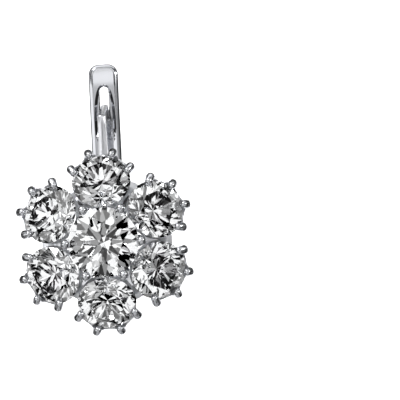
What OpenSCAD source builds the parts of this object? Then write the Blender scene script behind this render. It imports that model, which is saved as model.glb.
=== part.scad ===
// Flower cluster earring with a hinged lever back, in millimetres.
// Seven round cut stones in pronged cups stand on a conical base ring.
// The stones face -Y and +Z is up. The origin is where the ear lobe carries the wire.

/* [Placing] */
// Height of the wire's bearing point above the middle of the cluster
ear_up = 7.95; // [7:0.05:10]
// How far the bearing point stands behind the base ring's rear face
ear_back = 1.85; // [1:0.05:3]

/* [Stones] */
// Diameter of each of the six outer stones
outer_d = 3.6; // [2.5:0.05:4]
// Diameter of the centre stone
centre_d = 4.16; // [3:0.02:5]
// Distance of the outer stones from the middle of the cluster
outer_r = 3.8; // [3:0.05:5]
// Height of an outer girdle's middle in front of the ring's rear face
outer_front = 3.9; // [3:0.05:5]
// Height of the centre girdle in front of the ring's rear face
centre_front = 4.65; // [4:0.05:6]
// Outward lean of the outer stones in degrees
outer_lean = 30; // [0:1:40]
// Table width as a share of the diameter
table_share = 0.57; // [0.5:0.01:0.65]
// Crown angle in degrees
crown_angle = 34.5; // [28:0.5:38]
// Pavilion angle in degrees
pavilion_angle = 41; // [38:0.5:43]
// Thickness of the girdle as a share of the diameter
girdle_share = 0.02; // [0.01:0.005:0.05]
// Gap kept between a stone and the metal
seat_gap = 0.06; // [0.03:0.01:0.1]

/* [Base ring] */
// Radius of the ring's hole
hole_r = 3.0; // [2.5:0.05:3.5]
// Outer radius of the ring at its front edge
ring_front_r = 4.15; // [3.6:0.05:4.6]
// Outer radius of the cone at its rear edge
ring_rear_r = 3.58; // [3.3:0.02:4]
// Depth of the ring from front to back
ring_depth = 0.95; // [0.6:0.05:1.5]
// Radius of the round bead inside the rear edge
bead_r = 0.2; // [0.1:0.01:0.3]

/* [Cups] */
// Outer radius of an outer cup at the prong tips
cup_mouth_r = 2.2; // [2:0.02:2.5]
// Outer radius of an outer cup where it stands on the ring
cup_foot_r = 0.95; // [0.6:0.05:1.5]
// Distance of that foot from the middle of the cluster
cup_foot_out = 2.95; // [2:0.05:3.5]
// Wall thickness at the foot
cup_foot_wall = 0.3; // [0.2:0.02:0.5]
// Height of the prong tips above the girdle
tip_rise = 0.32; // [0.2:0.02:0.5]
// Radius of the bead on each outer prong
tip_r = 0.31; // [0.2:0.01:0.35]
// Distance of that bead from the axis of its cup
tip_out = 2.02; // [1.9:0.01:2.2]
// How far each outer prong reaches in over its stone
tip_reach = 0.14; // [0:0.02:0.5]
// Radius of the bead on each inner prong
inner_tip_r = 0.31; // [0.2:0.01:0.4]
// Distance of the inner prongs from the middle of the cluster
inner_tip_out = 2.38; // [2:0.02:2.6]
// Height of the inner beads in front of the ring's rear face
inner_tip_front = 4.93; // [4:0.01:6]
// Half width of the notches between outer prongs
notch_r = 0.5; // [0.3:0.01:0.7]
// How far the notches reach behind the girdle
notch_back = 0.3; // [0.1:0.02:1]
// Half width of the windows near the ring
window_r = 0.31; // [0.2:0.01:0.5]
// Height of the windows
window_h = 0.94; // [0.8:0.02:1.4]
// How far the windows' middle is behind the girdle
window_back = 1.52; // [1:0.02:2]
// How far the walls beside the centre stone stay behind the outer girdles
inner_back = 0.8; // [0.4:0.05:1.2]
// How far past the cup's axis those walls are cut down
inner_cut = 0.42; // [0:0.02:0.6]

/* [Ear wire] */
// Width of the wire where it leaves the ring
wire_foot_w = 0.66; // [0.4:0.02:1]
// Width of the wire at the top
wire_top_w = 0.5; // [0.3:0.02:0.8]
// Depth of the wire from front to back
wire_depth = 1.0; // [0.6:0.05:1.4]
// How far the wire's front edge is in front of the ring's rear face
wire_front = 0.7; // [0.4:0.05:1]
// Height of the wire's upper front corner above the middle
wire_corner = 8.05; // [7:0.05:9]
// Rise of the arm from that corner to the lever
arm_rise = 0.42; // [0:0.05:0.8]
// Depth of the arm from its top to its underside
arm_deep = 0.62; // [0.4:0.02:1]
// Width of the catch at the arm's end
catch_w = 0.88; // [0.6:0.02:1.2]
// Height of the catch
catch_h = 1.08; // [0.6:0.05:1.4]
// How far the catch stands out behind the lever
catch_out = 0.42; // [0.2:0.02:0.8]
// Slope of the catch's top in degrees
catch_slope = 18; // [10:1:30]
// Height of the arm's arched end, which shows through the slot, above the middle
neck_top = 8.78; // [8.5:0.02:9]

/* [Lever] */
// Width of the lever at its top
lever_w = 1.93; // [1.4:0.01:2.4]
// Width of the lever where it bends forward
lever_bend_w = 1.3; // [1:0.02:1.8]
// Thickness of the lever
lever_t = 0.72; // [0.5:0.02:1]
// Radius of the lever's upper corners
lever_corner_r = 0.68; // [0.3:0.02:0.9]
// Height of the lever's top above the middle of the cluster
lever_top = 11.48; // [10:0.02:13]
// Width of the slot above the catch
slot_w = 0.56; // [0.4:0.02:0.8]
// Height of the slot's top above the middle
slot_top = 10.0; // [9:0.05:11]
// Width of the front recess at its lower end
recess_w = 1.38; // [1:0.02:1.5]
// Width of the front recess where its arch begins
recess_top_w = 0.92; // [0.6:0.02:1.4]
// Depth of the front recess
recess_deep = 0.16; // [0.1:0.02:0.5]
// Height of the recess's lower end above the middle
recess_foot = 6.85; // [6:0.05:8]
// Clearance round the catch in the lever
catch_gap = 0.06; // [0.03:0.01:0.2]

/* [Hinge] */
// Radius of the hinge pin
pin_r = 0.2; // [0.12:0.01:0.3]
// How far the pin stands behind the ring's rear face
pin_back = 0.68; // [0.5:0.02:1]
// How far the pin is below the middle of the cluster
pin_down = 3.46; // [3:0.02:4]
// Radius of the fork's round end
fork_end_r = 0.44; // [0.3:0.01:0.6]
// Thickness of the tongue between the fork's legs
tongue_w = 0.42; // [0.3:0.02:0.6]
// Gap on each side of the tongue
tongue_gap = 0.04; // [0.02:0.01:0.1]
// Radius cleared in the fork round the pin
fork_clear_r = 1.4; // [1:0.05:2]
// Running clearance of the pin in the lever
pin_gap = 0.03; // [0.01:0.01:0.06]

/* [Hidden] */
fine = 24;
metal = [0.80, 0.81, 0.83];
gem = [0.90, 0.94, 0.98];
step = 22.5;
plate_front = lever_path()[1][0] - lever_t / 2;
plate_rear = plate_front + lever_t;

// Centre line of the lever, from its top round the bend to the pin, as [back, up].
function lever_path() = [
    [3.95, lever_top], [3.69, 7.9], [3.69, 0.0], [3.65, -0.7],
    [3.52, -1.3], [3.27, -1.85], [2.9, -2.33], [2.42, -2.73],
    [1.85, -3.05], [1.25, -3.29], [pin_back, -pin_down]];

// Unit direction across the centre line at its point i.
function across(p, i) = let (
    a = p[max(i - 1, 0)], b = p[min(i + 1, len(p) - 1)], d = b - a
) [-d[1], d[0]] / norm(d);

// A point of a stone at an angle in degrees, a radius and a height.
function on_stone(angle, r, z) = [r * cos(angle), r * sin(angle), z];

// Everything in the cluster is drawn facing up and is turned to face -Y here.
module in_cluster() {
    translate([0, -ear_back, -ear_up]) rotate([90, 0, 0]) children();
}

// Side profiles are drawn as [back, up] and are given their width here.
module in_side(width) {
    translate([-width / 2, -ear_back, -ear_up])
        rotate([90, 0, 90]) linear_extrude(height = width) children();
}

// Front outlines are drawn as [across, up] and reach from one depth back to another here.
module in_front(from, to) {
    translate([0, to - ear_back, -ear_up]) rotate([90, 0, 0])
        linear_extrude(height = to - from) children();
}

// The frame of outer cup i: its axis leans out and its x runs outward.
module at_cup(i) {
    rotate([0, 0, 30 + 60 * (i - 1)])
        translate([outer_r, 0, outer_front]) rotate([0, outer_lean, 0]) children();
}

// A round brilliant: table, stars, kites, upper and lower halves and mains.
module brilliant(d) {
    r = d / 2;
    g = girdle_share * d / 2;
    rise = tan(crown_angle);
    fall = tan(pavilion_angle);
    rt = table_share * r;
    rs = 0.80 * r;
    rp = 0.24 * r;
    culet = -g - r * fall;
    points = concat(
        [for (m = [0:7]) on_stone(m * 45, rt, g + (r - rt) * rise)],
        [for (m = [0:7]) on_stone(m * 45 + step, rs, g + (r - rs * cos(step)) * rise)],
        [for (k = [0:15]) on_stone(k * step, r, g)],
        [for (k = [0:15]) on_stone(k * step, r, -g)],
        [for (m = [0:7]) on_stone(m * 45 + step, rp, culet + rp * cos(step) * fall)],
        [[0, 0, culet]]);
    faces = concat(
        [[for (m = [7:-1:0]) m]],
        [for (m = [0:7]) [m, (m + 1) % 8, 8 + m]],
        [for (m = [0:7]) [m, 8 + m, 16 + 2 * m, 8 + (m + 7) % 8]],
        [for (m = [0:7]) [8 + m, 17 + 2 * m, 16 + 2 * m]],
        [for (m = [0:7]) [8 + m, 16 + (2 * m + 2) % 16, 17 + 2 * m]],
        [for (k = [0:15]) [16 + k, 16 + (k + 1) % 16, 32 + (k + 1) % 16, 32 + k]],
        [for (m = [0:7]) [48 + m, 32 + 2 * m, 33 + 2 * m]],
        [for (m = [0:7]) [48 + m, 33 + 2 * m, 32 + (2 * m + 2) % 16]],
        [for (m = [0:7]) [56, 48 + (m + 7) % 8, 32 + 2 * m, 48 + m]]);
    polyhedron(points = points, faces = faces, convexity = 2);
}

module outer_stone(i) {
    in_cluster() at_cup(i) rotate([0, 0, -30 - 60 * (i - 1)]) brilliant(outer_d);
}

// Outside of outer cup i, from its foot on the ring to the tips.
module cup_outside(i) {
    hull() {
        at_cup(i) translate([0, 0, tip_rise - 0.05]) cylinder(h = 0.05, r = cup_mouth_r, $fn = fine);
        rotate([0, 0, 30 + 60 * (i - 1)]) translate([cup_foot_out, 0, 0.75])
            cylinder(h = 0.05, r = cup_foot_r, $fn = fine);
    }
}

// Inside of outer cup i, open at both ends.
module cup_inside(i) {
    hull() {
        at_cup(i) translate([0, 0, -0.15]) cylinder(h = 0.8, r = outer_d / 2 + seat_gap, $fn = fine);
        rotate([0, 0, 30 + 60 * (i - 1)]) translate([cup_foot_out, 0, 0.6])
            cylinder(h = 0.05, r = cup_foot_r - cup_foot_wall, $fn = fine);
    }
}

// A round-ended cut through a cup's wall at an angle, from one radius to another.
module wall_cut(angle, r, low, high, from, to) {
    rotate([0, 0, angle]) hull() {
        translate([from, 0, low + r]) rotate([0, 90, 0]) cylinder(h = to - from, r = r, $fn = 10);
        translate([from, 0, high - r]) rotate([0, 90, 0]) cylinder(h = to - from, r = r, $fn = 10);
    }
}

// Notches between the prongs of a cup, and its windows near the ring.
module cup_cuts() {
    for (a = [-45, 0, 45]) {
        wall_cut(a, notch_r, -notch_back, 1.6, 1.0, 3.2);
        wall_cut(a, window_r, -window_back - window_h / 2, -window_back + window_h / 2, 0.8, 2.6);
    }
    translate([-2.7, -2.35, -inner_back]) cube([2.7 + inner_cut, 4.7, 3]);
}

// Centre cup, a ring of its own behind the centre stone.
module centre_outside() {
    translate([0, 0, 2.35]) rotate([0, 0, step / 3])
        cylinder(h = centre_front - 2.35 + 0.1, r1 = 1.95, r2 = 2.3, $fn = fine);
}

module centre_inside() {
    room = centre_d / 2 + seat_gap;
    rotate([0, 0, step / 3]) {
        translate([0, 0, 2.25]) cylinder(h = centre_front - 2.4, r1 = 1.58, r2 = room, $fn = fine);
        translate([0, 0, centre_front - 0.16]) cylinder(h = 1.5, r = room, $fn = fine);
    }
}

// Prong tips: four beads on each outer cup, drawn out over the stone.
module outer_tips() {
    for (i = [1:6], a = [-67.5, -22.5, 22.5, 67.5]) at_cup(i) rotate([0, 0, a]) hull() {
        translate([tip_out, 0, tip_rise]) sphere(r = tip_r, $fn = 8);
        translate([tip_out - tip_reach, 0, tip_rise + tip_reach * 0.55]) sphere(r = tip_r - 0.06, $fn = 8);
    }
}

// Six inner prongs, each shared by the centre stone and two outer stones.
module inner_prongs() {
    for (i = [0:5]) rotate([0, 0, 60 * i]) {
        hull() {
            translate([inner_tip_out, 0, inner_tip_front - 0.1]) cylinder(h = 0.1, r = 0.2, $fn = 8);
            translate([2.3, 0, 2.3]) cylinder(h = 0.1, r = 0.3, $fn = 8);
        }
        translate([inner_tip_out, 0, inner_tip_front]) sphere(r = inner_tip_r, $fn = 12);
        hull() {
            translate([1.95, -0.36, 2.36]) cube([0.4, 0.72, 0.9]);
            translate([3.0, -0.4, 0.5]) cube([0.4, 0.8, 0.4]);
        }
    }
}

// Conical base ring with a round bead inside its rear edge.
module base_ring() {
    groove = hole_r + 2 * bead_r;
    rotate_extrude($fn = 48)
        polygon([[hole_r + 0.06, ring_depth], [hole_r, bead_r], [hole_r + 0.06, 0.06],
            [hole_r + bead_r, 0], [groove - 0.06, 0.06], [groove, bead_r],
            [groove + 0.03, 0.26], [ring_rear_r, 0.1], [ring_front_r, ring_depth - 0.12],
            [ring_front_r - 0.1, ring_depth]]);
}

// Ear wire: a flat post on the ring's top and an arm back through the lever.
module ear_wire() {
    top = wire_corner - arm_deep;
    rear = wire_depth - wire_front;
    hull() {
        in_side(wire_foot_w) translate([-wire_front, 3.27]) square([wire_depth - 0.2, 0.3]);
        in_side(wire_top_w) translate([-wire_front, top - 0.4]) square([wire_depth - 0.1, 0.2]);
    }
    hull() {
        in_side(wire_top_w) translate([-wire_front, top - 0.4]) square([wire_depth - 0.1, 0.2]);
        in_side(wire_top_w) polygon([[-wire_front, wire_corner - 0.12], [-wire_front + 0.12, wire_corner],
            [rear, wire_corner + 0.04], [rear, top], [-wire_front, top]]);
    }
    in_side(wire_top_w) polygon([[-wire_front + 0.12, wire_corner], [plate_rear, wire_corner + arm_rise],
        [plate_rear, top + arm_rise], [rear - 0.1, top]]);
}

// The catch: a tulip-shaped end with a V cut down from its top, and the arched neck before it.
module catch_end() {
    in_front(plate_front + recess_deep, plate_rear - 0.2) {
        translate([-wire_top_w / 2, wire_corner]) square([wire_top_w, neck_top - wire_top_w / 2 - wire_corner]);
        translate([0, neck_top - wire_top_w / 2]) circle(r = wire_top_w / 2, $fn = fine);
    }
    low = wire_corner + arm_rise - arm_deep + 0.02;
    front = plate_rear - 0.3;
    rear = plate_rear + catch_out;
    translate([0, -ear_back, -ear_up + low]) difference() {
        hull() {
            for (x = [-1, 1]) translate([x * (catch_w / 2 - 0.16), front, catch_h - 0.16])
                rotate([-90 - catch_slope, 0, 0]) cylinder(h = rear - front, r = 0.16, $fn = 16);
            translate([-catch_w * 0.28, front, 0]) cube([catch_w * 0.56, rear - front - 0.12, 0.2]);
        }
        translate([0, front + 0.1, catch_h * 0.52]) rotate([-90, 0, 0])
            linear_extrude(height = 1.2) polygon([[0, 0], [-0.34, -0.9], [0.34, -0.9]]);
    }
}

// Tongue on the ring's foot that carries the hinge pin.
module tongue() {
    hull() {
        in_side(tongue_w) translate([pin_back, -pin_down]) circle(r = 0.4, $fn = fine);
        in_side(tongue_w) translate([-0.5, -3.85]) square([0.4, 0.6]);
    }
    hull() {
        in_side(tongue_w) translate([pin_back, -pin_down]) circle(r = 0.38, $fn = fine);
        in_side(tongue_w) translate([pin_back + 0.92, -pin_down + 0.42]) circle(r = 0.26, $fn = fine);
    }
}

module setting() {
    color(metal) difference() {
        union() {
            in_cluster() difference() {
                union() {
                    for (i = [1:6]) cup_outside(i);
                    centre_outside();
                }
                for (i = [1:6]) cup_inside(i);
                centre_inside();
                for (i = [1:6]) at_cup(i) cup_cuts();
            }
            in_cluster() outer_tips();
            in_cluster() inner_prongs();
            in_cluster() base_ring();
            ear_wire();
            catch_end();
            tongue();
        }
        translate([-1, pin_back - ear_back, -pin_down - ear_up]) rotate([0, 90, 0])
            cylinder(h = 2, r = pin_r + 0.01, $fn = fine);
    }
}

// Lever: a flat plate, slotted near its top, that bends forward into a fork.
module lever() {
    path = lever_path();
    last = len(path) - 1;
    color(metal) difference() {
        intersection() {
            union() {
                in_side(3) polygon(concat(
                    [for (i = [0:last]) path[i] + across(path, i) * lever_t / 2],
                    [for (i = [last:-1:0]) path[i] - across(path, i) * lever_t / 2]));
                in_side(3) translate([pin_back, -pin_down]) circle(r = fork_end_r, $fn = 64);
            }
            in_front(-4, 6) lever_outline();
        }
        lever_slot();
        in_side(tongue_w + 2 * tongue_gap)
            translate([pin_back, -pin_down]) circle(r = fork_clear_r, $fn = 64);
        translate([-1, pin_back - ear_back, -pin_down - ear_up]) rotate([0, 90, 0])
            cylinder(h = 2, r = pin_r + pin_gap, $fn = 64);
    }
}

// Front outline of the lever, as [across, up].
module lever_outline() {
    half = lever_w / 2;
    bend = lever_bend_w / 2;
    shoulder = lever_top - lever_corner_r;
    for (x = [-1, 1]) translate([x * (half - lever_corner_r), shoulder]) circle(r = lever_corner_r, $fn = 64);
    translate([-half + lever_corner_r, shoulder]) square([lever_w - 2 * lever_corner_r, lever_corner_r]);
    polygon([[-half, shoulder], [-half, 5.5], [-half + 0.1, 2.5], [-bend, -0.9], [-bend + 0.04, -5],
        [bend - 0.04, -5], [bend, -0.9], [half - 0.1, 2.5], [half, 5.5], [half, shoulder]]);
}

// Keyhole slot for the catch, with a wider arched recess in the lever's front.
module lever_slot() {
    low = wire_corner + arm_rise - arm_deep - catch_gap;
    high = low + catch_h + 2 * catch_gap;
    wide = catch_w / 2 + catch_gap;
    arch = recess_top_w / 2;
    spring = slot_top + 0.1 - arch;
    in_front(2, 6) {
        translate([-slot_w / 2, high - 0.2]) square([slot_w, slot_top - slot_w / 2 - high + 0.2]);
        translate([0, slot_top - slot_w / 2]) circle(r = slot_w / 2, $fn = 64);
        polygon([[-wide * 0.66, low], [-wide, low + 0.36], [-wide, high], [wide, high],
            [wide, low + 0.36], [wide * 0.66, low]]);
    }
    in_front(2, plate_front + recess_deep) {
        polygon([[-recess_w / 2, recess_foot], [-recess_w / 2, recess_foot + 1], [-arch, spring],
            [arch, spring], [recess_w / 2, recess_foot + 1], [recess_w / 2, recess_foot]]);
        translate([0, spring]) circle(r = arch, $fn = 64);
    }
}

module hinge_pin() {
    color(metal) translate([-lever_bend_w / 2, pin_back - ear_back, -pin_down - ear_up])
        rotate([0, 90, 0]) cylinder(h = lever_bend_w, r = pin_r, $fn = 64);
}

module stone_center() {
    color(gem) in_cluster() translate([0, 0, centre_front]) brilliant(centre_d);
}

module stone_1() { color(gem) outer_stone(1); }
module stone_2() { color(gem) outer_stone(2); }
module stone_3() { color(gem) outer_stone(3); }
module stone_4() { color(gem) outer_stone(4); }
module stone_5() { color(gem) outer_stone(5); }
module stone_6() { color(gem) outer_stone(6); }

setting();
lever();
hinge_pin();
stone_center();
stone_1();
stone_2();
stone_3();
stone_4();
stone_5();
stone_6();
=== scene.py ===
import math
import bmesh
import bpy
import numpy as np
from mathutils import Matrix, Vector


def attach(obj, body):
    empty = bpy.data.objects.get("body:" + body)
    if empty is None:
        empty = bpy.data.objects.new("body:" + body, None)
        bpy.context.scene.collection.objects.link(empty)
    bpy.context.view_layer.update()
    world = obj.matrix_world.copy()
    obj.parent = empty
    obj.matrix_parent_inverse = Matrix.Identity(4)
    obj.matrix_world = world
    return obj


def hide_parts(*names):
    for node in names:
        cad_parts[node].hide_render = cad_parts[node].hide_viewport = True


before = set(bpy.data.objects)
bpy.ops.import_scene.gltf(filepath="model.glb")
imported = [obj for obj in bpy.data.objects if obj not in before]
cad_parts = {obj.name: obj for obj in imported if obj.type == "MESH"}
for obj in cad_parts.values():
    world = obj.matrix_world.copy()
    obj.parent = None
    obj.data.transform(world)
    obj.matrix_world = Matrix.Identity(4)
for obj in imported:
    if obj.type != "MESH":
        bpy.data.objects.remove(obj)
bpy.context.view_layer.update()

# Cut stones: six clear round brilliants round a larger one, ground from a hard stone that bends
# light strongly. Their crowns have a table, stars, kites and upper halves, their pavilions have
# lower halves and mains. They sit in cups that lean outward, and claws hold them by their edges.
outer_stone_r = 1.84
outer_pavilion = 44.0
centre_stone_r = 2.20
centre_pavilion = 40.4
crown_angle = 34.5
girdle_share = 0.02
table_share = 0.57
star_share = 0.80
main_share = 0.24
outer_r = 3.8
outer_front = 3.9
outer_lean = 30.0
centre_front = 4.59

# All pieces are drawn in the cluster's own frame, in mm: x to the right, y up, z to the front, with
# the origin in the middle of the base ring's rear face. The CAD frame starts on the ear wire.
ear_back = 1.85
ear_up = 7.95


def new_finish(name, noise_scale, tones):
    """A material whose colour wanders between two tones by noise in the piece's own coordinates."""
    finish = bpy.data.materials.new(name)
    finish.use_nodes = True
    tree = finish.node_tree
    shader = tree.nodes["Principled BSDF"]
    place = tree.nodes.new("ShaderNodeTexCoord")
    noise = tree.nodes.new("ShaderNodeTexNoise")
    noise.inputs["Scale"].default_value = noise_scale
    noise.inputs["Detail"].default_value = 3.0
    tree.links.new(place.outputs["Object"], noise.inputs["Vector"])
    tone = tree.nodes.new("ShaderNodeMix")
    tone.data_type = "RGBA"
    tone.inputs["A"].default_value = (*tones[0], 1)
    tone.inputs["B"].default_value = (*tones[1], 1)
    tree.links.new(noise.outputs["Fac"], tone.inputs["Factor"])
    tree.links.new(tone.outputs["Result"], shader.inputs["Base Color"])
    return finish, shader, noise


stone, shader, noise = new_finish("clear_stone", 400.0, ((0.96, 0.98, 1.0), (1.0, 1.0, 1.0)))
shader.inputs["Transmission Weight"].default_value = 1.0
shader.inputs["IOR"].default_value = 2.3
shader.inputs["Roughness"].default_value = 0.0


def add_piece(name, points, faces, body, finish, node, sharp_from):
    """Make one object of points and faces and let it ride a body in a CAD node's place. Points move
    by the ear wire's place and become metres, and edges sharper than sharp_from degrees stay hard."""
    placed = np.stack([points[:, 0], -points[:, 2] - ear_back, points[:, 1] - ear_up], 1) / 1000
    mesh = bpy.data.meshes.new(name)
    mesh.from_pydata(placed.tolist(), [], faces)
    mesh.validate()
    solid = bmesh.new()
    solid.from_mesh(mesh)
    bmesh.ops.remove_doubles(solid, verts=solid.verts, dist=1e-7)
    seam = [face for face in solid.faces if all(abs(corner.co.x) < 1e-8 for corner in face.verts)]
    bmesh.ops.delete(solid, geom=seam, context="FACES")
    bmesh.ops.recalc_face_normals(solid, faces=solid.faces)
    solid.to_mesh(mesh)
    solid.free()
    mesh.polygons.foreach_set("use_smooth", np.full(len(mesh.polygons), sharp_from > 0))
    mesh.set_sharp_from_angle(angle=math.radians(sharp_from))
    mesh.materials.append(finish)
    piece = bpy.data.objects.new(name, mesh)
    bpy.context.collection.objects.link(piece)
    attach(piece, body)
    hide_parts(node)


def turned(points, degrees):
    """Points turned about the cluster's axis, from x toward y."""
    c = math.cos(math.radians(degrees))
    s = math.sin(math.radians(degrees))
    return points @ np.array([[c, s, 0], [-s, c, 0], [0, 0, 1]])


def leaned(points, degrees):
    """Points leaned over from the cluster's axis, from z toward x."""
    c = math.cos(math.radians(degrees))
    s = math.sin(math.radians(degrees))
    return points @ np.array([[c, 0, -s], [0, 1, 0], [s, 0, c]])


def brilliant(r, pavilion):
    """Points and faces of a stone of girdle radius r. Its kites rise at the crown's angle, and its
    mains fall at the pavilion's. A half is the plane through two girdle corners and a star or main
    point, and where that plane crosses the round of the girdle, it dips between the corners."""
    step = math.pi / 8
    crown_rise = math.tan(math.radians(crown_angle))
    pavilion_fall = math.tan(math.radians(pavilion))
    girdle = girdle_share * r
    table_r = table_share * r
    star_r = star_share * r
    main_r = main_share * r
    culet = -girdle - r * pavilion_fall

    def at(steps, radius, height):
        """Points on a level circle, at steps of a sixteenth of a turn."""
        angle = steps * step
        return np.stack([radius * np.cos(angle), radius * np.sin(angle), height + 0 * angle], -1)

    even = 2 * np.arange(8)
    stars = at(even + 1, star_r, girdle + (r - star_r * math.cos(step)) * crown_rise)
    mains = at(even + 1, main_r, culet + main_r * math.cos(step) * pavilion_fall)
    table = at(even, table_r, girdle + (r - table_r) * crown_rise)
    points = [table, stars, mains, np.array([[0, 0, culet]])]
    quarter = np.arange(64)
    corner = quarter // 4
    for side, tips in ((1, stars), (-1, mains)):
        start = at(corner, r, side * girdle)
        end = at(corner + 1, r, side * girdle)
        normal = np.cross(end - start, tips[corner // 2] - start)
        rim = at(quarter / 4, r, 0)
        away = rim - start
        rim[:, 2] = side * girdle - (normal[:, 0] * away[:, 0] + normal[:, 1] * away[:, 1]) / normal[:, 2]
        points.append(rim)
    upper = 25
    lower = upper + 64
    faces = [list(range(8))]
    for m in range(8):
        faces.append([m, 8 + m, (m + 1) % 8])
        faces.append([m, 8 + (m + 7) % 8, upper + 8 * m, 8 + m])
        faces.append([24, 16 + m, lower + 8 * m, 16 + (m + 7) % 8])
        for rim, tip in ((upper, 8 + m), (lower, 16 + m)):
            for first in (8 * m, 8 * m + 4):
                faces.append([tip] + [rim + (first + j) % 64 for j in range(5)])
    for j in range(64):
        ahead = (j + 1) % 64
        faces.append([upper + j, lower + j, lower + ahead, upper + ahead])
    return np.concatenate(points), faces


points, faces = brilliant(centre_stone_r, centre_pavilion)
points = points + [0, 0, centre_front]
add_piece("cut_stone_center", points, faces, "head", stone, "stone_center", 0.0)
for i in range(6):
    outward = 60 * i + 30
    points, faces = brilliant(outer_stone_r, outer_pavilion)
    points = leaned(turned(points, -outward), outer_lean) + [outer_r, 0, outer_front]
    points = turned(points, outward)
    node = "stone_%d" % (i + 1)
    add_piece("cut_" + node, points, faces, "head", stone, node, 0.0)

# Outer cups: cast white metal with a satin skin, soldered to the base ring. Each has four legs
# that end in claws bent over the stone's edge, and a low wall on the inner side. The sides of a
# leg follow the notches and windows, so legs meet where nothing is open.
mouth_r = 2.2
mouth_height = 0.32
foot_r = 0.95
foot_out = 2.95
foot_front = 0.72
cup_low = -2.7
skirt_high = -2.1
widening = 0.40
wall_thick = 0.3
edge_rounding = 0.11
notch_low = -0.30
notch_r = 0.50
window_low = -1.98
window_high = -1.06
window_r = 0.30
side_low = -1.15
side_high = -0.8
side_half = 0.87
side_angle = 99.5
leg_angles = (-67.5, -22.5, 22.5, 67.5)
tip_r = 0.305
tip_out = 2.0
tip_rise = 0.32
cup_lean = math.radians(outer_lean)
mouth_x = np.array([math.cos(cup_lean), 0, -math.sin(cup_lean)])
cup_axis = np.array([math.sin(cup_lean), 0, math.cos(cup_lean)])
cup_mouth = np.array([outer_r, 0, outer_front]) + mouth_height * cup_axis
cup_foot = np.array([foot_out, 0, foot_front])


def new_metal(name, low, high, lift=0.0):
    """White metal whose roughness wanders from low to high along with its tone; lift makes it paler."""
    dull = (0.56 + lift, 0.57 + lift, 0.60 + lift)
    pale = (0.68 + lift, 0.69 + lift, 0.72 + lift)
    finish, shader, noise = new_finish(name, 900.0, (dull, pale))
    shader.inputs["Metallic"].default_value = 1.0
    gloss = finish.node_tree.nodes.new("ShaderNodeMapRange")
    gloss.inputs["To Min"].default_value = low
    gloss.inputs["To Max"].default_value = high
    finish.node_tree.links.new(noise.outputs["Fac"], gloss.inputs["Value"])
    finish.node_tree.links.new(gloss.outputs["Result"], shader.inputs["Roughness"])
    return finish


cast = new_metal("cast_metal", 0.14, 0.21, 0.10)
satin = new_metal("satin_metal", 0.24, 0.36, 0.18)


def add_skins(name, skins, body, node, finish, sharp_from=35.0):
    """Make one metal object of closed skins. A skin is a grid whose rows are loops: a band of faces
    joins each row to the next, and the last row to the first in a ring, or else both are capped."""
    points = []
    faces = []
    base = 0
    for grid, ends in skins:
        rows, columns = grid.shape[:2]
        index = base + np.arange(rows * columns).reshape(rows, columns)
        upper = np.roll(index, -1, 0)
        if ends != "ring":
            faces += [index[0, ::-1].tolist(), index[-1].tolist()]
            index = index[:-1]
            upper = upper[:-1]
        band = np.stack([index, np.roll(index, -1, 1), np.roll(upper, -1, 1), upper], -1)
        faces += band.reshape(-1, 4).tolist()
        points.append(grid.reshape(-1, 3))
        base += rows * columns
    add_piece(name, np.concatenate(points), faces, body, finish, node, sharp_from)


def smoothstep(value, low, high):
    """A smooth step from 0 at low to 1 at high: of the share t of the way, 3 squares less 2 cubes."""
    t = np.clip((value - low) / (high - low), 0, 1)
    return t * t * (3 - 2 * t)


def opening(height, radius, low, high):
    """Half width of an upright opening with round ends, as half the chord of a circle that slides
    between low and high."""
    middle = np.clip(height, low + radius, high - radius)
    return np.sqrt(np.clip(radius ** 2 - (height - middle) ** 2, 0, None))


def on_cup(angle, height, depth):
    """Points of a cup's wall. With the height, the middle and the radius of its round go straight
    from the foot's to the mouth's. Depth, 0 outside and 1 inside, takes off its share of the wall's
    thickness. Below the skirt's height the wall is stretched down to the ring."""
    c = np.cos(angle)[..., None]
    s = np.sin(angle)[..., None]
    foot_height = (cup_foot + foot_r * c * [1, 0, 0] - cup_mouth) @ cup_axis + mouth_height
    stretch = (skirt_high - foot_height) / (skirt_high - cup_low)
    height = np.where(height < skirt_high, skirt_high + (height - skirt_high) * stretch, height)
    t = ((height - foot_height) / (mouth_height - foot_height))[..., None]
    thick = np.interp(height, [cup_low, -0.15, mouth_height], [0.30, 0.19, 0.34])[..., None]
    radius = foot_r * (1 - t) + mouth_r * t - thick * depth[..., None]
    outward = c * ([1.0, 0, 0] * (1 - t) + mouth_x * t) + s * [0, 1.0, 0]
    return cup_foot * (1 - t) + cup_mouth * t + radius * outward


def strip(left, right, left_gap, right_gap, height):
    """Loops round a strip of wall between two angles, less the half width of an opening at each:
    along the outside, in through the rounded edge, back along the inside and out again. A half
    width becomes an angle as the arcsine of its share of the cup's radius at that height."""
    face = np.linspace(0, 1, 11)
    edge = np.linspace(0, 1, 9)[1:-1]
    across = np.concatenate([face, np.ones(7), face[::-1], np.zeros(7)])
    depth = np.concatenate([np.zeros(11), edge, np.ones(11), edge[::-1]])
    radius = mouth_r + (height[:, None] - mouth_height) * widening - wall_thick * depth
    rounding = edge_rounding * np.abs(2 * depth - 1) ** 2.2
    limits = []
    for side, gap, sign in ((left, left_gap, 1), (right, right_gap, -1)):
        rounded = gap[:, None] + rounding * np.clip(gap[:, None] / 0.12, 0, 1)
        limits.append(math.radians(side) + sign * np.arcsin(rounded / radius))
    angle = limits[0] + (limits[1] - limits[0]) * across
    return on_cup(angle, height[:, None] + 0 * angle, depth + 0 * angle)


polar = np.linspace(0.02, np.pi - 0.02, 16)[:, None]
round_about = np.linspace(0, 2 * np.pi, 24, endpoint=False)[None]
ball = np.stack([np.sin(polar) * np.cos(round_about), np.sin(polar) * np.sin(round_about),
                 np.cos(polar) + 0 * round_about], -1)
inner_half = (ball[:, :, 2:] < 0) * 1.0


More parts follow.
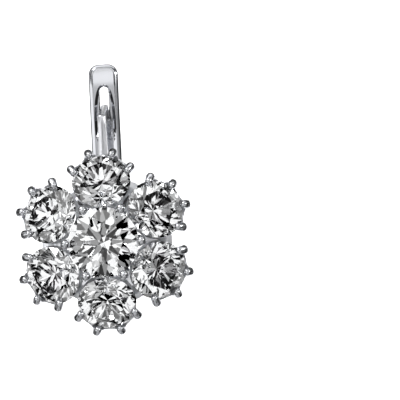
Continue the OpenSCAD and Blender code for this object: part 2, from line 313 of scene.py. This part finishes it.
def claw(leg):
    """A capsule over the stone's edge: a ball whose inner half is moved inward and made a little
    smaller. The claws at the sides of a cup reach further in, and they swerve."""
    reach = 0.15
    rise = 0.08
    swerve = 0.0
    if abs(leg) > 45:
        reach = 0.30
        rise = 0.06
        swerve = math.radians(0.55 * leg)
    inward = np.array([-reach * math.cos(swerve), reach * math.sin(swerve), rise])
    facing = np.array(Vector((0, 0, -1)).rotation_difference(Vector(inward)).to_matrix())
    across = ball @ facing.T
    return across * (tip_r - 0.05 * inner_half) + [tip_out, 0, tip_rise] + inner_half * inward


arc = np.linspace(0, np.pi / 2, 10)
leg_heights = np.concatenate([
    np.linspace(cup_low, skirt_high, 5),
    window_low + window_r * (1 - np.cos(arc)),
    window_high - window_r * (1 - np.sin(arc)),
    np.linspace(window_high + 0.08, notch_low - 0.06, 8),
    notch_low + notch_r * (1 - np.cos(arc)),
    [notch_low + notch_r + 0.05, notch_low + notch_r + 0.10]])
notches = opening(leg_heights, notch_r, notch_low, 3.0)
opened = np.maximum(notches, opening(leg_heights, window_r, window_low, window_high))
side_gap = side_half * smoothstep(leg_heights, side_low, side_high)
cup = []
claws = []
for leg in leg_angles:
    left, left_gap = leg - 22.5, opened
    right, right_gap = leg + 22.5, opened
    if leg == leg_angles[0]:
        left, left_gap = -side_angle, side_gap
    if leg == leg_angles[-1]:
        right, right_gap = side_angle, side_gap
    cup.append((strip(left, right, left_gap, right_gap, leg_heights), "closed"))
    claws.append((leaned(turned(claw(leg), leg), outer_lean) + [outer_r, 0, outer_front], "closed"))
wall_heights = np.linspace(cup_low, side_high, 16)
closed = np.zeros(len(wall_heights))
for first, last in ((side_angle, 140.0), (140.0, 180.0), (180.0, 220.0), (220.0, 360 - side_angle)):
    cup.append((strip(first, last, closed, closed, wall_heights), "closed"))
for i in range(6):
    for name, skins, finish in (("cup", cup, satin), ("claws", claws, cast)):
        skins = [(turned(grid, 60 * i + 30), ends) for grid, ends in skins]
        add_skins("%s_%d" % (name, i + 1), skins, "head", "setting", finish)

# Centre cup: a scalloped ring behind the centre stone, cast with six shared prongs whose ends are
# round beads, and with six arms that carry it down to the base ring. The arms have hollow sides,
# because the gaps between them are round.
inner_bead_r = 0.31
inner_bead_out = 2.38
inner_bead_front = 4.93
shaft_r = 0.29
shaft_taper = 0.10
shaft_out = 2.30
shaft_splay = 0.08
shaft_back = 2.4
shaft_long = 2.5
arm_start = 2.1
arm_long = 1.1
arm_front = 2.80
arm_fall = 2.05
gap_r = 1.2
gap_out = foot_out * math.cos(math.radians(30))
gap_side = foot_out * math.sin(math.radians(30))

# Each row of the ring's section has a radius, a distance to the front and its share of scallop.
scallop = 0.20
ring_section = np.array([
    [1.60, 2.42, 0.0], [1.68, 2.35, 0.0], [1.86, 2.35, 0.5], [2.00, 2.44, 1.0],
    [2.07, 3.00, 1.0], [2.13, 3.60, 1.0], [2.14, 3.90, 1.0], [2.09, 3.95, 0.4],
    [2.02, 3.90, 0.0], [1.85, 3.30, 0.0], [1.70, 2.80, 0.0]])
angle = np.linspace(0, 2 * np.pi, 120, endpoint=False)[:, None]
radius = ring_section[:, 0] + scallop * ring_section[:, 2] * (0.5 * np.cos(6 * angle) - 0.5)
scalloped = np.stack([radius * np.cos(angle), radius * np.sin(angle), ring_section[:, 1] + 0 * radius], -1)
loop = np.linspace(0, 2 * np.pi, 20, endpoint=False)
along = np.linspace(0, 1, 14)[:, None]
radius = shaft_r - shaft_taper * along
shaft = np.stack([shaft_out + shaft_splay * along + radius * np.cos(loop),
                  radius * np.sin(loop),
                  shaft_back + shaft_long * along + 0 * loop], -1)
square_x = np.sign(np.cos(loop)) * np.abs(np.cos(loop)) ** 0.5
square_y = np.sign(np.sin(loop)) * np.abs(np.sin(loop)) ** 0.5
arm_out = arm_start + arm_long * along
arm_half = gap_side - np.sqrt(gap_r ** 2 - (arm_out - gap_out) ** 2)
arm = np.stack([arm_out + 0.20 * square_x,
                arm_half * square_y,
                arm_front - arm_fall * along + 0.26 * square_x], -1)
bead = ball * inner_bead_r + [inner_bead_out, 0, inner_bead_front]
skins = [(scalloped, "ring")]
for i in range(6):
    skins += [(turned(grid, 60 * i), "closed") for grid in (shaft, arm, bead)]
add_skins("centre_cup", skins, "head", "setting", cast)

# Base ring: turned white metal with a satin skin, which carries all the cups. It is a cone that
# widens to the front, with a round bead inside its rear edge and a groove beside the bead. A row
# of its section has a radius and a distance to the front.
bead_middle = 3.2
bead_r = 0.2
bead_angle = np.linspace(np.pi, 2 * np.pi, 15)
bead = np.stack([bead_middle + bead_r * np.cos(bead_angle), bead_r + bead_r * np.sin(bead_angle)], 1)
cone = np.array([
    [3.41, 0.25], [3.44, 0.27], [3.47, 0.25], [3.54, 0.14], [3.58, 0.115], [3.62, 0.145], [3.80, 0.38],
    [3.98, 0.60], [4.09, 0.72], [4.12, 0.75], [4.11, 0.775], [4.08, 0.79], [3.82, 0.935], [3.76, 0.95],
    [3.4, 0.95], [3.1, 0.945], [3.06, 0.91], [3.04, 0.7], [3.02, 0.4]])
section = np.concatenate([bead, cone])
angle = np.linspace(0, 2 * np.pi, 144, endpoint=False)[:, None]
ring = np.stack([section[:, 0] * np.cos(angle), section[:, 0] * np.sin(angle), section[:, 1] + 0 * angle], -1)
add_skins("base_ring", [(ring, "ring")], "head", "setting", satin, 50.0)

# Ear wire: a satin post with a round front, soldered to the ring's top, which narrows upward and
# bends into an arm. The arm rises toward the lever's slot and is rounded off at its end.
front_end = 0.66
front_full = 0.72
front_arc = np.linspace(-front_end, front_end, 19)
flank_from = 0.16
corner = 0.07
corner_arc = np.linspace(0, np.pi / 2, 5)

# A station has the [back, up] of its front or upper side and of its rear or lower side, and its
# half width.
post_stations = (
    ((-0.70, 3.27), (0.10, 3.27), 0.33),
    ((-0.70, 4.4), (0.14, 4.4), 0.31),
    ((-0.70, 5.6), (0.18, 5.6), 0.285),
    ((-0.70, 6.8), (0.20, 6.8), 0.26),
    ((-0.70, 7.2), (0.21, 7.2), 0.25),
    ((-0.70, 7.4), (0.24, 7.34), 0.25),
    ((-0.70, 7.96), (0.28, 7.39), 0.25),
    ((-0.67, 8.03), (0.33, 7.42), 0.25),
    ((-0.60, 8.065), (0.42, 7.44), 0.25))
arm_stations = (
    post_stations[-1],
    ((0.6, 8.29), (0.7, 7.48), 0.25),
    ((2.0, 8.56), (2.05, 7.67), 0.25),
    ((3.2, 8.79), (3.22, 7.84), 0.25),
    ((3.45, 8.86), (3.46, 7.86), 0.25),
    ((3.60, 8.82), (3.60, 7.87), 0.24),
    ((3.84, 8.44), (3.84, 7.88), 0.22))


def wire(stations):
    """Loops of the wire at its stations. The front is an arc of a circle, the flanks are straight,
    the rear corners are quarter circles, and all of it lies on the line from front to rear."""
    loops = []
    for front, rear, half in stations:
        length = math.dist(front, rear)
        crown = half / math.sin(front_full)
        sideways = np.concatenate([
            crown * np.sin(front_arc), [half], half - corner + corner * np.cos(corner_arc),
            -half + corner - corner * np.sin(corner_arc), [-half]])
        inward = np.concatenate([
            crown * (1 - np.cos(front_arc)), [flank_from], length - corner + corner * np.sin(corner_arc),
            length - corner + corner * np.cos(corner_arc), [flank_from]])
        side_view = np.array(front) + inward[:, None] / length * np.subtract(rear, front)
        loops.append(np.stack([sideways, side_view[:, 1], -side_view[:, 0]], 1))
    return np.array(loops)


add_skins("ear_post", [(wire(post_stations), "closed")], "head", "setting", satin)
add_skins("ear_arm", [(wire(arm_stations), "closed")], "head", "setting", cast)

# Catch: in the lever's pocket and behind it the arm's end spreads like a tulip, filed into two
# lobes with a V between them. The outline is the right lobe's, in [x, up]. A station has its depth
# behind the ring's rear face, its drop, and its growth from the lobe's middle.
lobe_middle = np.array([0.16, 8.40])
lobe = np.array([
    [0.0, 7.90], [0.17, 7.90], [0.28, 8.02], [0.37, 8.28], [0.42, 8.60], [0.43, 8.82],
    [0.41, 8.91], [0.37, 8.93], [0.33, 8.85], [0.27, 8.62], [0.14, 8.46], [0.0, 8.40]])
catch_stations = ((3.70, 0.06, 0.85), (3.78, 0.09, 0.96), (4.0, 0.17, 1.0),
                  (4.3, 0.27, 1.0), (4.41, 0.305, 0.94), (4.46, 0.32, 0.80))
skins = []
for side in (-1, 1):
    rows = []
    for depth, drop, growth in catch_stations:
        outline = lobe_middle + (lobe - lobe_middle) * growth - [0, drop]
        outline[[0, -1], 0] = 0.0
        rows.append(np.stack([side * outline[:, 0], outline[:, 1], np.full(len(outline), -depth)], 1))
    skins.append((np.array(rows), "closed"))
add_skins("catch", skins, "head", "setting", satin, 30.0)

# Hinge: a polished tongue soldered to the ring's foot, and the plain pin through it and the
# lever's fork, on which the lever turns. The tongue's outline is in [back, up].
tongue_half = 0.21
tongue_bevel = 0.03
tongue = np.array([
    [-0.5, -3.85], [0.0, -3.86], [0.5, -3.86], [0.75, -3.85], [1.0, -3.72], [1.4, -3.40],
    [1.72, -3.26], [1.86, -3.1], [1.86, -2.95], [1.75, -2.82], [1.55, -2.79], [1.2, -2.86],
    [0.8, -3.0], [0.5, -3.1], [0.0, -3.2], [-0.5, -3.25]])
pin_back = 0.68
pin_down = 3.46
pin_r = 0.2
pin_half = 0.65
polished = new_metal("polished_metal", 0.05, 0.12)
tongue_in = tongue_half - tongue_bevel
rows = []
for x, growth in ((-tongue_half, 0.95), (-tongue_in, 1.0), (tongue_in, 1.0), (tongue_half, 0.95)):
    outline = tongue.mean(0) + (tongue - tongue.mean(0)) * growth
    rows.append(np.stack([np.full(len(outline), x), outline[:, 1], -outline[:, 0]], 1))
add_skins("hinge_tongue", [(np.array(rows), "closed")], "head", "setting", polished, 30.0)
angle = np.linspace(0, 2 * np.pi, 48, endpoint=False)
pin_end = ((pin_half, 0.10), (pin_half - 0.01, 0.17), (pin_half - 0.04, pin_r))
rows = []
for x, r in [(-x, r) for x, r in pin_end] + list(pin_end[::-1]):
    rows.append(np.stack([x + 0 * angle, -pin_down + r * np.cos(angle), -pin_back - r * np.sin(angle)], 1))
add_skins("pin", [(np.array(rows), "closed")], "head", "hinge_pin", polished, 50.0)

# Lever: a polished plate, bent forward at its foot into a fork on the pin. Its rim is bevelled, and
# an arched hollow in its front surrounds the slot, which opens behind a thin lip into a pocket for
# the catch. Its two mirrored halves meet on the centre line, except round the slot and the fork.
lever_path = np.array([
    [3.94, 11.46], [3.873, 10.8], [3.823, 10.2], [3.69, 7.9], [3.69, 0.0], [3.65, -0.7], [3.52, -1.3],
    [3.27, -1.85], [2.9, -2.33], [2.42, -2.73], [1.85, -3.05], [1.25, -3.29], [pin_back, -pin_down]])
lever_top = lever_path[0, 1]
lever_half = 0.965
corner_r = 0.68
thick = 0.72
slot_half = 0.28
slot_low = 7.80
slot_top = 10.0
slot_rounding = 0.05
pocket_low = 7.68
pocket_top = 8.98
pocket_half = 0.49
pocket_foot_half = 0.33
lip = 0.12
hollow_half = 0.69
hollow_middle = 7.4
hollow_top = 10.12
hollow_curve = 2.6
hollow_deep = 0.165
hollow_shallow = 0.045
hollow_slope = 0.19
rim_away = np.array([0.0, 0.012, 0.035, 0.075, 0.19, 0.215, 0.25])
rim_fall = np.array([0.20, 0.15, 0.108, 0.077, 0.018, 0.006, 0.0])
fork_half = 0.25
fork_r = 1.4
travel = np.concatenate([[0], np.cumsum(np.hypot(*np.diff(lever_path, axis=0).T))])
stations = np.unique(np.concatenate([
    corner_r * (1 - np.cos(np.linspace(0, np.pi / 2, 40))), np.linspace(corner_r, 5.2, 160),
    np.linspace(5.2, 11.4, 30), np.linspace(11.4, travel[-1], 60)]).round(4))
middle = np.stack([np.interp(stations, travel, path) for path in lever_path.T], 1)
for _ in range(60):
    middle[1:-1] = middle[1:-1] * 0.5 + 0.25 * (middle[:-2] + middle[2:])
ahead = np.gradient(middle, axis=0)
ahead /= np.hypot(*ahead.T)[:, None]
rearward = np.stack([-ahead[:, 1], ahead[:, 0]], 1)
up = middle[:, 1]
above_corner = np.clip(corner_r - (lever_top - up), 0, corner_r)
half = np.interp(up, [-3.5, -0.9, 2.5, 5.5, 12], [0.61, 0.65, 0.865, lever_half, lever_half])
half = half - corner_r + np.sqrt(corner_r ** 2 - above_corner ** 2)
in_fork = np.hypot(middle[:, 0] - pin_back, up + pin_down) < fork_r
slot = opening(up, slot_half, slot_low - slot_half, slot_top) * (up > slot_low)
slot = np.minimum(np.where(in_fork, fork_half, slot), half - 0.002)
in_pocket = (up > pocket_low) & (up < pocket_top)
pocket_wide = np.interp(up, [slot_low, slot_low + 0.36], [pocket_foot_half, pocket_half])
pocket = np.where(in_pocket, pocket_wide, slot)
along = np.clip((up - hollow_middle) / (hollow_top - hollow_middle), 0, 1)
hollow = hollow_half * (1 - along ** hollow_curve) ** (1 / hollow_curve)
sink = (hollow_deep - hollow_shallow) * smoothstep(up, 6.35, 7.3) + hollow_shallow * smoothstep(up, 3.6, 5.4)


def across_lever(k):
    """The loop round the lever's right half at a station, as distances aside and behind the middle:
    over the front from slot to rim, back over the rear to the pocket, and under the lip to the slot.
    The front falls by the bevel or by the hollow, whichever is more."""
    w = half[k]
    inner = slot[k]
    rim = max(w - rim_away[-1], inner + 0.3 * (w - inner))
    brim = np.clip(hollow[k], inner + 0.002, rim - 0.01)
    bed = np.clip(brim - hollow_slope, inner + 0.001, brim)
    x = np.concatenate([
        np.linspace(inner, bed, 7)[:-1], np.linspace(bed, brim, 9)[:-1], np.linspace(brim, rim, 12)[:-1],
        w - (w - rim) * rim_away[::-1] / rim_away[-1]])
    to_rim = w - x
    if above_corner[k] > 0:
        beside = np.maximum(x - lever_half + corner_r, 0)
        to_rim = corner_r - np.hypot(beside, above_corner[k])
    fall = np.interp(to_rim, rim_away, rim_fall)
    sunk = sink[k] * np.clip((brim - x) / hollow_slope, 0, 1) * (hollow[k] > inner)
    front = -thick / 2 + np.maximum(fall, sunk)
    if inner > slot_rounding:
        near_slot = np.clip(1 - (x - inner) / slot_rounding, 0, 1)
        front = front + slot_rounding * (1 - np.sqrt(1 - near_slot ** 2))
    rear = thick / 2 - 0.4 * fall
    rear_x = np.maximum(x, min(pocket[k], w))
    lip_rear = front[0] + lip
    aside = np.concatenate([x, rear_x[::-1], [rear_x[0], inner]])
    return aside, np.concatenate([front, rear[::-1], [lip_rear, lip_rear]])


skins = []
for side in (-1, 1):
    rows = []
    for k in range(len(stations)):
        aside, depth = across_lever(k)
        side_view = middle[k] + depth[:, None] * rearward[k]
        rows.append(np.stack([side * aside, side_view[:, 1], -side_view[:, 0]], 1))
    skins.append((np.array(rows), "closed"))
add_skins("lever_plate", skins, "lever_back", "lever", polished, 40.0)

# Floor: one plain pale sheet below and behind the earring, in metres, that curves up into a low
# wall. Its bend is a quarter circle between two flat parts.
floor_finish = bpy.data.materials.new("pale_floor")
floor_finish.use_nodes = True
floor_finish.node_tree.nodes["Principled BSDF"].inputs["Base Color"].default_value = (0.93, 0.93, 0.93, 1)
floor_finish.node_tree.nodes["Principled BSDF"].inputs["Roughness"].default_value = 0.9
floor_front = 0.02
floor_up = -0.05
bend_r = 0.08
bend_back = 0.10
wall_top = 0.045
bend = np.linspace(0, np.pi / 2, 24)
bent = np.stack([bend_back + bend_r * np.sin(bend), floor_up + bend_r - bend_r * np.cos(bend)], 1)
sweep = np.concatenate([[[floor_front, floor_up]], bent, [[bend_back + bend_r, wall_top]]])
left, right = [[(x, y, z) for y, z in sweep] for x in (-0.045, 0.055)]
count = len(sweep)
mesh = bpy.data.meshes.new("floor")
mesh.from_pydata(left + right, [], [(k, k + count, k + count + 1, k + 1) for k in range(count - 1)])
mesh.polygons.foreach_set("use_smooth", np.full(count - 1, True))
mesh.materials.append(floor_finish)
floor = bpy.data.objects.new("floor", mesh)
bpy.context.collection.objects.link(floor)

# Soft studio light: a large round panel above and to the left, a smaller one at the right, and one
# behind the earring that lights the wall alone.
ring_centre = Vector((0, -0.001 * ear_back, -0.001 * ear_up))
for name, spot, aim, size, power in (
        ("top_panel", Vector((-0.09, -0.10, 0.14)), ring_centre, 0.05, 0.12),
        ("right_panel", Vector((0.14, -0.09, 0.05)), ring_centre, 0.03, 0.04),
        ("wall_panel", Vector((0, 0.04, 0.06)), Vector((0, 0.135, 0.03)), 0.06, 0.30)):
    light = bpy.data.lights.new(name, "AREA")
    light.shape = "DISK"
    light.size = size
    light.energy = power
    lamp = bpy.data.objects.new(name, light)
    lamp.location = spot
    lamp.rotation_mode = "QUATERNION"
    lamp.rotation_quaternion = (aim - spot).to_track_quat("-Z", "Y")
    bpy.context.collection.objects.link(lamp)

# Surroundings: what the polished metal and the stones mirror, while the camera itself sees a plain
# near-white. A place in them is told by from_front, 0 straight in front of the earring and 2 behind
# it, by across, -1 at the left and 1 at the right, and by above, -1 below and 1 overhead.
bpy.context.scene.view_settings.view_transform = "Standard"
world = bpy.data.worlds.new("studio")
world.use_nodes = True
bpy.context.scene.world = world
tree = world.node_tree


def ramp(shades, interpolation, source):
    """A ramp of greys from (position, shade) pairs, fed by a socket."""
    node = tree.nodes.new("ShaderNodeValToRGB")
    node.color_ramp.interpolation = interpolation
    while len(node.color_ramp.elements) < len(shades):
        node.color_ramp.elements.new(0.5)
    for element, (position, shade) in zip(node.color_ramp.elements, shades):
        element.position = position
        element.color = (shade, shade, shade, 1)
    tree.links.new(source, node.inputs["Fac"])
    return node.outputs["Color"]


def mixed(first, second, factor):
    """The first colour where the factor is 0 and the second where it is 1. A colour is a socket or
    a grey."""
    node = tree.nodes.new("ShaderNodeMix")
    node.data_type = "RGBA"
    for name, value in (("A", first), ("B", second)):
        if isinstance(value, float):
            node.inputs[name].default_value = (value, value, value, 1)
        else:
            tree.links.new(value, node.inputs[name])
    tree.links.new(factor, node.inputs["Factor"])
    return node.outputs["Result"]


def measured(operation, *values):
    """A number worked out by one operation from sockets and constants."""
    node = tree.nodes.new("ShaderNodeMath")
    node.operation = operation
    for socket, value in zip(node.inputs, values):
        if isinstance(value, float):
            socket.default_value = value
        else:
            tree.links.new(value, socket)
    return node.outputs["Value"]


def between(value, low, high):
    """A smooth step from 0 at low to 1 at high."""
    node = tree.nodes.new("ShaderNodeMapRange")
    node.interpolation_type = "SMOOTHSTEP"
    node.inputs["From Min"].default_value = low
    node.inputs["From Max"].default_value = high
    tree.links.new(value, node.inputs["Value"])
    return node.outputs["Result"]


def both(first, second):
    """Where two zones overlap, as their product."""
    return measured("MULTIPLY", first, second)


direction = tree.nodes.new("ShaderNodeTexCoord").outputs["Generated"]
parts = tree.nodes.new("ShaderNodeSeparateXYZ")
tree.links.new(direction, parts.inputs["Vector"])
across = parts.outputs["X"]
backward = parts.outputs["Y"]
above = parts.outputs["Z"]
from_front = measured("ADD", backward, 1.0)
from_level = measured("ABSOLUTE", above)

# Panels of a few greys, in a patchwork of large and of small ones. There are more pale ones at the
# left than at the right.
shuffles = []
for scale in (8.6, 20.0):
    panels = tree.nodes.new("ShaderNodeTexVoronoi")
    panels.inputs["Scale"].default_value = scale
    tree.links.new(direction, panels.inputs["Vector"])
    shuffle = tree.nodes.new("ShaderNodeSeparateColor")
    tree.links.new(panels.outputs["Color"], shuffle.inputs["Color"])
    shuffles.append(shuffle.outputs["Red"])
large, small = [measured("ADD", shuffle, measured("MULTIPLY", across, -0.12)) for shuffle in shuffles]
bright = ramp(((0.0, 0.0), (0.30, 0.28), (0.42, 0.70), (0.64, 1.35)), "CONSTANT", large)
middling = ramp(((0.0, 0.0), (0.40, 0.25), (0.55, 0.60), (0.76, 1.15)), "CONSTANT", small)
dark = ramp(((0.0, 0.02), (0.70, 0.30)), "CONSTANT", shuffles[0])
behind = ramp(((0.0, 0.60), (0.15, 0.85), (0.40, 1.15)), "CONSTANT", shuffles[0])
behind_above = mixed(1.10, 0.40, between(across, -0.10, -0.04))

# From the front to the back: large panels, a dark ring, small panels, near-black beside the earring
# up to some height, dark panels past it and pale ones behind, sooner at its own level. A softbox is
# overhead in front, small panels lie below, and a pale and a grey field fill the upper back.
room = mixed(bright, 0.05, between(from_front, 0.43, 0.44))
room = mixed(room, middling, between(from_front, 0.58, 0.60))
room = mixed(room, 0.02, both(between(from_front, 0.74, 0.78), between(above, 0.45, 0.40)))
room = mixed(room, dark, between(from_front, 1.02, 1.10))
room = mixed(room, behind, between(from_front, 1.82, 1.87))
room = mixed(room, behind, both(between(from_front, 1.50, 1.56), between(from_level, 0.40, 0.36)))
overhead = both(between(above, 0.72, 0.76), between(from_front, 0.58, 0.60))
room = mixed(room, 1.35, both(overhead, between(from_front, 0.85, 0.80)))
room = mixed(room, middling, between(above, -0.84, -0.88))
room = mixed(room, behind_above, both(between(backward, 0.88, 0.92), between(above, 0.20, 0.23)))

# Straight in front: a black disc, and in it, left of the middle, a face that gets darker downward.
# The lever's flat front mirrors them.
face = ramp(((0.0, 0.34), (0.12, 0.38), (0.14, 0.50), (0.17, 0.95), (0.20, 1.40)), "LINEAR", above)
off_middle = measured("ABSOLUTE", measured("ADD", across, 0.062))
in_face = both(between(off_middle, 0.062, 0.052), between(above, -0.07, -0.06))
room = mixed(room, 0.0, between(from_front, 0.050, 0.044))
room = mixed(room, face, both(in_face, between(from_front, 0.036, 0.034)))

# A level belt round the front half, pale at the left and grey at the right, which narrows where it
# crosses the disc.
belt = ramp(((0.02, 0.02), (0.035, 1.40), (0.43, 1.40), (0.45, 0.40), (0.56, 0.36), (0.64, 0.40),
             (0.70, 0.70), (0.80, 0.70), (0.84, 0.34), (0.92, 0.30), (0.935, 0.02)),
            "LINEAR", measured("MULTIPLY_ADD", across, 0.5, 0.5))
belt_half = measured("MULTIPLY_ADD", between(from_front, 0.036, 0.050), 0.10, 0.05)
in_belt = between(measured("SUBTRACT", from_level, belt_half), 0.01, 0.0)
room = mixed(room, belt, both(in_belt, between(from_front, 1.02, 1.0)))
seen = tree.nodes.new("ShaderNodeLightPath")
studio = mixed(room, 0.98, seen.outputs["Is Camera Ray"])
tree.links.new(studio, tree.nodes["Background"].inputs["Color"])
tree.nodes["Background"].inputs["Strength"].default_value = 1.0

# Camera in front of the earring, a little to its right, and turned slightly as the photograph is.
# It looks past the earring, which fills the left half of the picture.
azimuth = math.radians(3.54)
elevation = math.radians(0.62)
roll = math.radians(-2.87)
distance = 0.190
look_right = 0.00587
look_up = 0.00264
camera = bpy.data.objects.new("camera", bpy.data.cameras.new("camera"))
bpy.context.collection.objects.link(camera)
bpy.context.scene.camera = camera
camera.data.sensor_width = 36
camera.data.lens = 268
camera.data.clip_start = 0.01
camera.data.clip_end = 10
back = Vector((math.sin(azimuth) * math.cos(elevation), -math.cos(azimuth) * math.cos(elevation),
               math.sin(elevation)))
level = Vector((math.cos(azimuth), math.sin(azimuth), 0))
plumb = back.cross(level)
right = level * math.cos(roll) + plumb * math.sin(roll)
upward = plumb * math.cos(roll) - level * math.sin(roll)
camera.location = ring_centre + back * distance
depth = (camera.location - ring_centre - right * look_right - upward * look_up).normalized()
right = (right - depth * right.dot(depth)).normalized()
camera.rotation_mode = "QUATERNION"
camera.rotation_quaternion = Matrix((right, depth.cross(right), depth)).transposed().to_quaternion()
